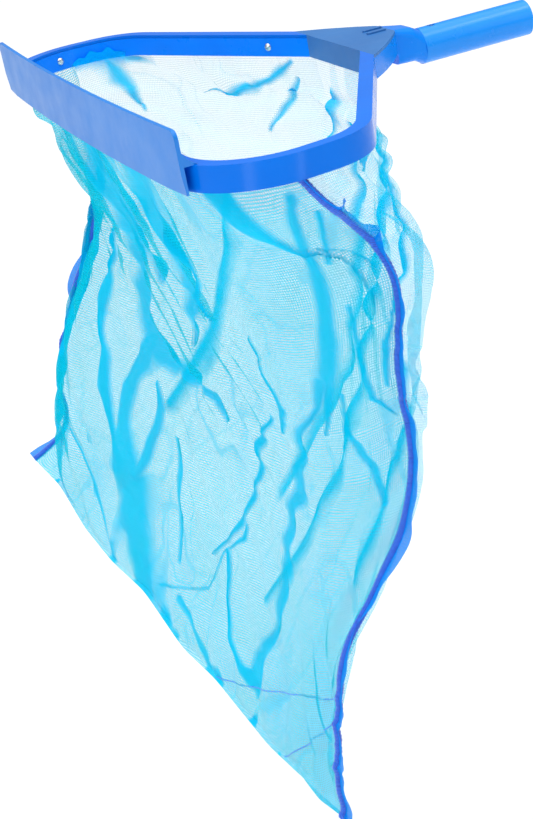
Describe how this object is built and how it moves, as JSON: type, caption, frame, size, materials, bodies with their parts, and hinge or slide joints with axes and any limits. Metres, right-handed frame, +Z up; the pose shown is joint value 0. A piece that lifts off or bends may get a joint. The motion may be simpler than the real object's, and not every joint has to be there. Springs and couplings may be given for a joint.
{
  "type": "leaf skimmer net",
  "caption": "Pool leaf skimmer: moulded hoop with a tall scoop blade, yoke and handle tube, and a deep fine-mesh bag sewn at both sides.",
  "frame": {"origin": "centre of the handle tube's root, on the tube's axis", "axes": "+X out along the handle towards the pole, +Z up out of the mouth, +Y to the side of the clip's button; the hoop is symmetric about y = 0"},
  "size_m": [0.4639, 0.5674, 0.5502],
  "materials": {
    "hoop_plastic": "glossy moulded blue polypropylene",
    "blade_plastic": "satin moulded blue plastic",
    "yoke_plastic": "glossy moulded blue plastic",
    "cover_plastic": "satin moulded blue plastic",
    "tube_plastic": "glossy blue tube",
    "screw_steel": "bright plated steel",
    "spring_steel": "spring steel",
    "button_steel": "turned steel",
    "net_mesh": "fine light blue nylon mesh",
    "seam_allowance_mesh": "doubled nylon mesh",
    "overlock_thread": "dark blue overlock stitching",
    "stitch_thread": "dark blue thread",
    "hem_tape": "woven hem tape",
    "rim_cord_fibre": "braided cord"
  },
  "bodies": {
    "skimmer": {"hoop_frame": "hoop_plastic", "left_strip": "hoop_plastic", "right_strip": "hoop_plastic", "front_strip": "hoop_plastic", "scoop_blade": "blade_plastic", "yoke_body": "yoke_plastic", "yoke_cover": "cover_plastic", "handle_tube": "tube_plastic", "strip_screws": "screw_steel", "cover_screws": "screw_steel", "tube_rivet": "screw_steel", "clip_fixed_leg": "spring_steel", "net_front_panel": "net_mesh", "net_back_panel": "net_mesh", "near_seam_allowance": "seam_allowance_mesh", "far_seam_allowance": "seam_allowance_mesh", "near_seam_thread": "overlock_thread", "far_seam_thread": "overlock_thread", "near_corner_stitch": "stitch_thread", "far_corner_stitch": "stitch_thread", "bottom_stitch": "stitch_thread", "rim_hem": "hem_tape", "rim_cord": "rim_cord_fibre"},
    "clip_leg": {"clip_spring_leg": "spring_steel", "lock_button": "button_steel"}
  },
  "joints": [
    {"name": "button_press", "type": "hinge", "parent": "skimmer", "child": "clip_leg", "pos_m": [0.072, 0.011, 0], "axis": [0, 0, 1], "range_deg": [-8, 0], "stiffness_Nm_per_rad": 1.5, "springref_deg": -13.75}
  ]
}
